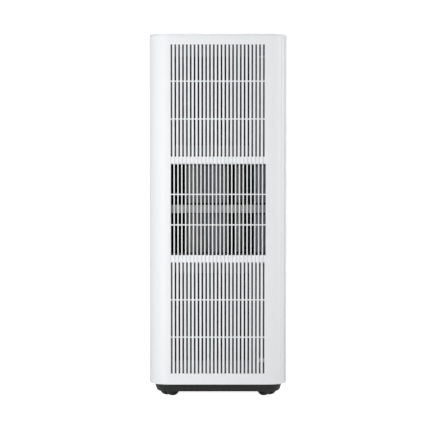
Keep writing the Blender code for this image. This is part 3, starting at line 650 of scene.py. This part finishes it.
def build_accumulator():
    low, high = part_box("accumulator")
    centre = (low + high) / 2
    radius = (high.x - low.x) / 2
    bottle = bmesh.new()
    profile = [(0.0, low.z)]
    for i in range(1, 7):
        turn = math.pi / 2 * i / 6
        profile.append((radius * math.sin(turn), low.z + 14 * MM * (1 - math.cos(turn))))
    for i in range(6):
        turn = math.pi / 2 * i / 6
        profile.append((radius * math.cos(turn), high.z - 16 * MM * (1 - math.sin(turn))))
    profile.append((0.0, high.z))
    turned(bottle, profile, (centre.x, centre.y, 0), Z, 40)
    piece("accumulator_bottle", bottle, "cabinet", "baked_black_enamel",
          ("accumulator",), 50.0)
    strap = bmesh.new()
    for z in (low.z + 38 * MM, high.z - 42 * MM):
        turned(strap, [(radius, z), (radius + 0.8 * MM, z), (radius + 0.8 * MM, z + 9 * MM),
                       (radius, z + 9 * MM)], (centre.x, centre.y, 0), Z, 40)
    piece("accumulator_straps", strap, "cabinet", "zinc_plated_steel")


def build_pipes():
    for node in ("suction_pipe", "discharge_pipe"):
        shape = bmesh.new()
        shape.from_mesh(NODES[node].data)
        bmesh.ops.remove_doubles(shape, verts=shape.verts, dist=2e-6)
        piece(node + "_drawn", shape, "cabinet", "drawn_copper", (node,), 60.0)


# ---- blowers

def build_blower(name, blades):
    refined(name + "_scroll_housing", 0.6 * MM, "duct_polypropylene")
    low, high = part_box(name + "_fan_wheel")
    joint = JOINTS[name + "_fan_spin"]
    axis_y, axis_z = joint["pos_m"][1], joint["pos_m"][2]
    centre = Vector((0.0, axis_y, axis_z))
    radius = (high.y - low.y) / 2
    face, back = low.x, joint["pos_m"][0]
    wheel = bmesh.new()
    hub = WHEEL_HUB
    turned(wheel, [(0.0, back - 30 * MM), (hub - 2 * MM, back - 30 * MM), (hub, back - 28 * MM),
                   (hub, back - 8 * MM), (hub + 6 * MM, back - 3 * MM), (radius - 10 * MM, back - 2.2 * MM),
                   (radius, back - 2.2 * MM), (radius, back), (4 * MM, back), (4 * MM, high.x),
                   (0.0, high.x)], centre, X, 64)
    turned(wheel, [(radius - BLADE_DEPTH, face), (radius - 1 * MM, face), (radius, face + 1 * MM),
                   (radius, face + 5 * MM), (radius - 2 * MM, face + 5 * MM),
                   (radius - 2 * MM, face + 2 * MM), (radius - BLADE_DEPTH, face + 1.2 * MM)], centre, X, 64)
    for i in range(6):
        turn = math.radians(60 * i)
        out = round_x(turn)
        side = X.cross(out)
        start = centre + X * (back - 14 * MM) + out * hub * 0.9
        outline = [start - side * 0.8 * MM, start + side * 0.8 * MM,
                   start + side * 0.8 * MM + X * 12 * MM + out * 26 * MM,
                   start - side * 0.8 * MM + X * 12 * MM + out * 26 * MM]
        extruded(wheel, outline, X * -1.5 * MM)
    for i in range(blades):
        start = 2.0 * math.pi * i / blades
        inner, outer = [], []
        for k in range(5):
            t = k / 4
            turn = start + math.radians(9.0) * t * t
            reach = radius - BLADE_DEPTH + 10.5 * MM * t
            for side, offset in ((inner, -0.45 * MM), (outer, 0.45 * MM)):
                side.append(centre + X * (face + 1.0 * MM) + round_x(turn + offset / reach) * reach)
        extruded(wheel, inner + outer[::-1], X * (back - face - 2 * MM))
    piece(name + "_blower_wheel", wheel, name + "_fan", "glass_filled_nylon",
          (name + "_fan_wheel",), 40.0)

    mouth = bmesh.new()
    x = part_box(name + "_scroll_housing")[0].x
    inlet = INLET_RADIUS
    turned(mouth, [(inlet, x - 0.1 * MM), (inlet + 7 * MM, x - 0.1 * MM), (inlet + 7 * MM, x - 1.8 * MM),
                   (inlet + 3 * MM, x - 2.6 * MM), (inlet - 0.5 * MM, x - 1.6 * MM),
                   (inlet - 2.0 * MM, x + 2 * MM), (inlet - 2.4 * MM, x + 7 * MM),
                   (inlet - 1.2 * MM, x + 7 * MM), (inlet - 0.6 * MM, x + 2 * MM)], centre, X, 64)
    piece(name + "_inlet_mouth", mouth, "cabinet", "duct_polypropylene")
    screws = bmesh.new()
    for i in range(6):
        spot = centre + X * x + round_x(math.radians(30 + 60 * i)) * (INLET_RADIUS + 10 * MM)
        screw_head(screws, spot, -X)
    piece(name + "_inlet_screws", screws, "cabinet", "zinc_plated_steel")

    motor_low, motor_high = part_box(name + "_fan_motor")
    size = (motor_high.y - motor_low.y) / 2
    start, end = motor_low.x, motor_high.x
    motor = bmesh.new()
    profile = [(0.0, start + 18 * MM), (5 * MM, start + 18 * MM), (5 * MM, start), (size * 0.8, start),
               (size * 0.94, start + 1.5 * MM), (size, start + 5 * MM), (size, end - 6 * MM),
               (size * 0.94, end - 2 * MM), (size * 0.8, end), (size * 0.35, end),
               (size * 0.33, end - 1 * MM), (0.0, end - 1 * MM)]
    turned(motor, profile, centre, X, 48)
    piece(name + "_motor_can", motor, "cabinet", "zinc_plated_steel", (name + "_fan_motor",))
    band = bmesh.new()
    mid = (start + end) / 2
    turned(band, [(size, mid - 5 * MM), (size + 1.5 * MM, mid - 5 * MM), (size + 1.5 * MM, mid + 5 * MM),
                  (size, mid + 5 * MM)], centre, X, 48)
    for i in range(3):
        spot = centre + round_x(math.radians(90 + 120 * i)) * (size + 5 * MM)
        rod(band, spot + X * (start + 0.2 * MM), spot + X * (mid + 5 * MM), 4.5 * MM, 16)
    piece(name + "_motor_mount", band, "cabinet", "moulded_rubber")


# ---- outlet and controls

def build_outlet():
    refined("outlet_flap", 0.5 * MM, "moulded_white_abs")
    refined("outlet_duct", 0.3 * MM, "inner_grey_abs")
    refined("swing_motor", 1.0 * MM, "inner_grey_abs", 3)
    refined("vane_link", 0.4 * MM, "inner_grey_abs")
    for number in range(1, 5):
        node = "swing_vane_%d" % number
        refined(node, 0.3 * MM, "inner_grey_abs")
        low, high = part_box(node)
        pivot = JOINTS["swing_vane_%d_turn" % number]["pos_m"]
        pins = bmesh.new()
        for bottom, top in ((low.z - 2.5 * MM, low.z + 3 * MM), (high.z - 3 * MM, high.z + 2.5 * MM)):
            rod(pins, (pivot[0], pivot[1], bottom), (pivot[0], pivot[1], top), 1.5 * MM)
        piece("swing_vane_%d_pins" % number, pins, "vane_%d" % number, "inner_grey_abs")
    low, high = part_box("outlet_flap")
    back = bmesh.new()
    for i in range(7):
        x = low.x + (high.x - low.x) * (i + 0.5) / 7
        block(back, (x - 0.6 * MM, high.y - 0.2 * MM, low.z + 6 * MM), (x + 0.6 * MM, high.y + 1.3 * MM,
                                                                     high.z - 6 * MM), 0.3 * MM)
    piece("outlet_flap_ribs", back, "flap", "moulded_white_abs")


def build_controls():
    refined("control_panel", 0.25 * MM, "inner_grey_abs")
    refined("display_window", 0.3 * MM, "smoked_acrylic")
    for name in KEYS:
        refined("button_" + name, 0.6 * MM, "key_abs", 3)
    lamps = bmesh.new()
    panel_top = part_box("control_panel")[1].z
    for name in KEYS:
        key_low, key_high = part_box("button_" + name)
        x = (key_low.x + key_high.x) / 2
        turned(lamps, [(0.0, -0.6 * MM), (1.1 * MM, -0.6 * MM), (1.1 * MM, 0.05 * MM), (0.8 * MM, 0.25 * MM),
                       (0.0, 0.3 * MM)], (x, key_high.y + 4.5 * MM, panel_top), Z, 16)
    piece("panel_lamps", lamps, "cabinet", "smoked_acrylic")


# ---- base and casters

def build_base():
    refined("base_tray", 0.5 * MM, "moulded_charcoal_abs")
    for corner in CASTERS:
        build_caster(corner)


def build_caster(corner):
    refined("caster_fork_" + corner, 0.3 * MM, "glass_filled_nylon")
    swivel = Vector(JOINTS[corner + "_swivel"]["pos_m"])
    spots = {side: Vector(JOINTS["%s_roll_%s" % (corner, side)]["pos_m"]) for side in ("a", "b")}
    across = (spots["b"] - spots["a"]).normalized()
    axle = (spots["a"] + spots["b"]) / 2
    for side, spot in spots.items():
        node = "caster_wheel_%s_%s" % (corner, side)
        low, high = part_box(node)
        radius = (high.z - low.z) / 2
        half = CASTER_TREAD / 2
        out = across if side == "b" else -across
        wheel = bmesh.new()
        profile = [(3.3 * MM, -half + 1 * MM), (10 * MM, -half + 1 * MM), (12 * MM, -half),
                   (radius - 2.2 * MM, -half)]
        for i in range(1, 6):
            turn = math.pi * i / 6
            profile.append((radius - 1.3 * MM + 1.3 * MM * math.sin(turn), -half * math.cos(turn) * 0.92))
        profile += [(radius - 2.2 * MM, half), (12 * MM, half), (10.5 * MM, half - 1.4 * MM),
                    (7 * MM, half - 1.4 * MM), (6.2 * MM, half - 0.6 * MM), (3.3 * MM, half - 0.6 * MM)]
        turned(wheel, profile, spot, out, 48)
        piece(node + "_turned", wheel, body_of(node), "tread_polyurethane", (node,), 40.0)
        hub = bmesh.new()
        for i in range(6):
            turn = math.radians(60 * i)
            lean = Z * math.cos(turn) + across.cross(Z) * math.sin(turn)
            start = spot + out * (half - 1.5 * MM) + lean * 6.6 * MM
            end = spot + out * (half - 1.5 * MM) + lean * 10.8 * MM
            rod(hub, start, end, 0.8 * MM, 8)
        piece(node + "_spokes", hub, body_of(node), "glass_filled_nylon")
    hood = bmesh.new()
    ahead = across.cross(Z).normalized()
    if ahead.dot(axle - swivel) < 0:
        ahead = -ahead
    inner, outer = [], []
    for i in range(15):
        turn = math.radians(28 + 128 * i / 14)
        lean = ahead * math.cos(turn) + Z * math.sin(turn)
        inner.append(axle + lean * (radius + 0.9 * MM) - across * HOOD_WIDTH / 2)
        outer.append(axle + lean * (radius + 2.2 * MM) - across * HOOD_WIDTH / 2)
    extruded(hood, inner + outer[::-1], across * HOOD_WIDTH)
    round_edges(hood, sharp(hood, 60.0), 0.4 * MM)
    piece("caster_hood_" + corner, hood, "caster_" + corner, "glass_filled_nylon")


# ---- rear and fasteners

def build_rear():
    refined("exhaust_collar", 0.6 * MM, "moulded_white_abs")
    for name in ("upper", "lower"):
        refined("drain_plug_" + name, 0.3 * MM, "moulded_rubber")
    refined("cable_gland", 0.4 * MM, "moulded_rubber")
    low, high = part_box("exhaust_collar")
    centre = (low + high) / 2
    radius = (high.x - low.x) / 2 - 8 * MM
    guard = bmesh.new()
    y = low.y + 1.0 * MM
    for ring in (16 * MM, 31 * MM, 46 * MM):
        turned(guard, [(ring - 0.8 * MM, 0.0), (ring + 0.8 * MM, 0.0), (ring + 0.8 * MM, 2 * MM),
                       (ring - 0.8 * MM, 2 * MM)], (centre.x, y, centre.z), Y, 48)
    for i in range(4):
        turn = math.radians(45 * i + 22.5)
        lean = Vector((math.cos(turn), 0, math.sin(turn)))
        flat = Vector((-math.sin(turn), 0, math.cos(turn))) * 0.8 * MM
        middle = Vector((centre.x, y, centre.z))
        ends = (middle - lean * (radius + 0.3 * MM), middle + lean * (radius + 0.3 * MM))
        extruded(guard, [ends[0] - flat, ends[0] + flat, ends[1] + flat, ends[1] - flat], Y * 2 * MM)
    piece("exhaust_guard", guard, "cabinet", "inner_grey_abs")


def build_fasteners():
    """Screws of the control box and the filter bay, and the foam round the coils."""
    box_low, box_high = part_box("control_box")
    refined("control_box", 1.5 * MM, "zinc_plated_steel", 3)
    lid = bmesh.new()
    block(lid, (box_low.x - 0.8 * MM, box_low.y + 2 * MM, box_low.z + 2 * MM),
          (box_low.x + 0.4 * MM, box_high.y - 2 * MM, box_high.z - 2 * MM), 0.3 * MM)
    piece("control_box_lid", lid, "cabinet", "zinc_plated_steel")
    screws = bmesh.new()
    for y in (box_low.y + 8 * MM, box_high.y - 8 * MM):
        for z in (box_low.z + 8 * MM, box_high.z - 8 * MM):
            screw_head(screws, (box_low.x - 0.8 * MM, y, z), -X, 2.6 * MM)
    bay_low, bay_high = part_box("filter_bay_frame")
    for y in (bay_low.y + 8 * MM, bay_high.y - 8 * MM):
        for z in (bay_low.z + 10 * MM, 0.291, 0.500, bay_high.z - 8 * MM):
            screw_head(screws, (bay_low.x, y, z), -X)
    piece("inner_screws", screws, "cabinet", "zinc_plated_steel")
    foam = bmesh.new()
    for name in ("evaporator_coil", "condenser_coil"):
        coil_low, coil_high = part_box(name)
        for z in (coil_low.z - 3.5 * MM, coil_high.z + 0.2 * MM):
            block(foam, (coil_low.x - 7 * MM, coil_low.y, z),
                  (coil_low.x + 8 * MM, coil_high.y, z + 3.3 * MM), 0.5 * MM)
    piece("coil_foam", foam, "cabinet", "foam_strip")


# ---- studio

def build_stage(studio):
    scene = bpy.context.scene
    scene.view_settings.view_transform = "Standard"
    floor = bmesh.new()
    bmesh.ops.create_grid(floor, x_segments=1, y_segments=1, size=30.0)
    wall = bmesh.new()
    bmesh.ops.create_cone(wall, segments=96, radius1=29.0, radius2=29.0, depth=40.0)
    paper = finish("seamless_paper", "F6F6F6", 0.9, grain_mm=2.0, depth_mm=0.01, tint=0.004,
                   Emission_Strength=studio.floor_glow, Emission_Color=(1.0, 1.0, 1.0, 1.0))
    for name, shape in (("floor", floor), ("backdrop", wall)):
        mesh = bpy.data.meshes.new(name)
        shape.to_mesh(mesh)
        shape.free()
        mesh.materials.append(paper)
        sheet = bpy.data.objects.new(name, mesh)
        bpy.context.collection.objects.link(sheet)
        sheet.visible_diffuse = False
        sheet.visible_glossy = False
        sheet.visible_shadow = sheet.name == "floor"

    world = bpy.data.worlds.new("studio")
    world.use_nodes = True
    tree = world.node_tree
    background = tree.nodes["Background"]
    aim = add(tree, "SeparateXYZ", None, add(tree, "TexCoord").outputs["Generated"])
    sky = add(tree, "MapRange", {"interpolation_type": "SMOOTHSTEP", "From Min": 0.0, "From Max": 0.9,
                                 "To Min": studio.horizon, "To Max": studio.zenith}, aim.outputs["Z"])
    ground = add(tree, "MapRange", {"From Min": -0.15, "From Max": 0.0, "To Min": studio.ground,
                                    "To Max": 0.0}, aim.outputs["Z"])
    glow = add(tree, "Math", {"operation": "MAXIMUM"}, sky.outputs["Result"], ground.outputs["Result"])
    tree.links.new(glow.outputs["Value"], background.inputs["Strength"])
    background.inputs["Color"].default_value = (1.0, 1.0, 1.0, 1.0)
    scene.world = world

    low, high = CAD_BOX
    middle = Vector((0.0, 0.0, (low.z + high.z) / 2))
    for azimuth, height, power in SOFTBOXES:
        light = bpy.data.lights.new("softbox", "AREA")
        light.shape = "RECTANGLE"
        light.size, light.size_y = 0.45, 1.8
        light.energy = power
        lamp = bpy.data.objects.new("softbox", light)
        angle, up = math.radians(azimuth), math.radians(height)
        aim = Vector((-math.cos(angle) * math.cos(up), math.sin(angle) * math.cos(up), math.sin(up)))
        lamp.location = middle + SOFTBOX_DISTANCE * aim
        lamp.visible_camera = False
        lamp.rotation_euler = (middle - lamp.location).to_track_quat("-Z", "Y").to_euler()
        bpy.context.collection.objects.link(lamp)

    camera_data = bpy.data.cameras.new("camera")
    camera_data.lens = studio.lens
    camera_data.sensor_width = 36.0
    camera = bpy.data.objects.new("camera", camera_data)
    camera.location = (low.x - studio.distance, studio.aside, studio.height)
    camera.rotation_euler = (math.radians(90.0) - studio.tilt, 0.0, math.radians(-90.0))
    bpy.context.collection.objects.link(camera)
    scene.camera = camera


# ---- operators

class AIRCON_OT_finishes(bpy.types.Operator):
    """Make every finish of the machine"""
    bl_idname = "aircon.finishes"
    bl_label = "Finishes"

    def execute(self, context):
        make_finishes(context.scene.aircon_finish)
        return {"FINISHED"}


class AIRCON_OT_side_cover(bpy.types.Operator):
    """Build the removable side with its grille, hooks and rails"""
    bl_idname = "aircon.side_cover"
    bl_label = "Side cover"

    def execute(self, context):
        build_side_cover(context.scene.aircon_grille)
        return {"FINISHED"}


class AIRCON_OT_filters(bpy.types.Operator):
    """Build both air filters: frames, tabs and woven nets"""
    bl_idname = "aircon.filters"
    bl_label = "Air filters"

    def execute(self, context):
        build_filters(context.scene.aircon_grille)
        return {"FINISHED"}


class AIRCON_OT_window(bpy.types.Operator):
    """Build the guides and the rib behind the middle slots"""
    bl_idname = "aircon.window"
    bl_label = "Behind the middle slots"

    def execute(self, context):
        build_window()
        return {"FINISHED"}


class AIRCON_OT_shells(bpy.types.Operator):
    """Build the outer shells: left side, rear, top and front"""
    bl_idname = "aircon.shells"
    bl_label = "Outer shells"

    def execute(self, context):
        build_shells(context.scene.aircon_grille)
        return {"FINISHED"}


class AIRCON_OT_coils(bpy.types.Operator):
    """Build the finned coils with their tubes and end plates"""
    bl_idname = "aircon.coils"
    bl_label = "Coils"

    def execute(self, context):
        for node in ("evaporator_coil", "condenser_coil"):
            build_coil(node, context.scene.aircon_inside)
        return {"FINISHED"}


class AIRCON_OT_circuit(bpy.types.Operator):
    """Build the compressor, the accumulator and the copper pipes"""
    bl_idname = "aircon.circuit"
    bl_label = "Cooling circuit"

    def execute(self, context):
        build_compressor()
        build_accumulator()
        build_pipes()
        return {"FINISHED"}


class AIRCON_OT_blowers(bpy.types.Operator):
    """Build both blowers: scrolls, inlet mouths, bladed wheels and motors"""
    bl_idname = "aircon.blowers"
    bl_label = "Blowers"

    def execute(self, context):
        for name in ("upper", "lower"):
            build_blower(name, context.scene.aircon_inside.blade_count)
        refined("drain_pan", 0.6 * MM, "duct_polypropylene")
        refined("exhaust_duct", 0.8 * MM, "duct_polypropylene")
        return {"FINISHED"}


class AIRCON_OT_outlet(bpy.types.Operator):
    """Build the outlet with its flap, vanes and link"""
    bl_idname = "aircon.outlet"
    bl_label = "Air outlet"

    def execute(self, context):
        build_outlet()
        return {"FINISHED"}


class AIRCON_OT_controls(bpy.types.Operator):
    """Build the control panel, display, keys and lamps"""
    bl_idname = "aircon.controls"
    bl_label = "Controls"

    def execute(self, context):
        build_controls()
        return {"FINISHED"}


class AIRCON_OT_base(bpy.types.Operator):
    """Build the base skirt and the four casters"""
    bl_idname = "aircon.base"
    bl_label = "Base and casters"

    def execute(self, context):
        build_base()
        return {"FINISHED"}


class AIRCON_OT_rear(bpy.types.Operator):
    """Build the exhaust collar and guard, drain plugs and cable gland"""
    bl_idname = "aircon.rear"
    bl_label = "Rear fittings"

    def execute(self, context):
        build_rear()
        return {"FINISHED"}


class AIRCON_OT_fasteners(bpy.types.Operator):
    """Build the screws, the foam strips and the control box"""
    bl_idname = "aircon.fasteners"
    bl_label = "Fasteners and seals"

    def execute(self, context):
        build_fasteners()
        return {"FINISHED"}


class AIRCON_OT_stage(bpy.types.Operator):
    """Lay the pale floor, hang the soft lights and set the camera"""
    bl_idname = "aircon.stage"
    bl_label = "Studio"

    def execute(self, context):
        build_stage(context.scene.aircon_studio)
        return {"FINISHED"}


SETTINGS = {"grille": GrilleSettings, "inside": InsideSettings, "finish": FinishSettings,
            "studio": StudioSettings}
STEPS = (AIRCON_OT_finishes, AIRCON_OT_side_cover, AIRCON_OT_filters, AIRCON_OT_window, AIRCON_OT_shells,
         AIRCON_OT_coils, AIRCON_OT_circuit, AIRCON_OT_blowers, AIRCON_OT_outlet, AIRCON_OT_controls,
         AIRCON_OT_base, AIRCON_OT_rear, AIRCON_OT_fasteners, AIRCON_OT_stage)


class AIRCON_PT_panel(bpy.types.Panel):
    """Sizes, colours and build steps of the air conditioner"""
    bl_idname = "AIRCON_PT_panel"
    bl_label = "Air Conditioner"
    bl_space_type = "VIEW_3D"
    bl_region_type = "UI"
    bl_category = "Air Conditioner"

    def draw(self, context):
        for group, kind in SETTINGS.items():
            for name in kind.__annotations__:
                self.layout.prop(getattr(context.scene, "aircon_" + group), name)
        for step in STEPS:
            self.layout.operator(step.bl_idname)


def register():
    for name, kind in SETTINGS.items():
        bpy.utils.register_class(kind)
        setattr(bpy.types.Scene, "aircon_" + name, PointerProperty(type=kind))
    for item in STEPS + (AIRCON_PT_panel,):
        bpy.utils.register_class(item)


def unregister():
    for item in (AIRCON_PT_panel,) + STEPS:
        bpy.utils.unregister_class(item)
    for name, kind in SETTINGS.items():
        delattr(bpy.types.Scene, "aircon_" + name)
        bpy.utils.unregister_class(kind)


def main():
    register()
    for step in STEPS:
        getattr(bpy.ops.aircon, step.bl_idname.split(".")[1])()


if __name__ == "__main__":
    main()
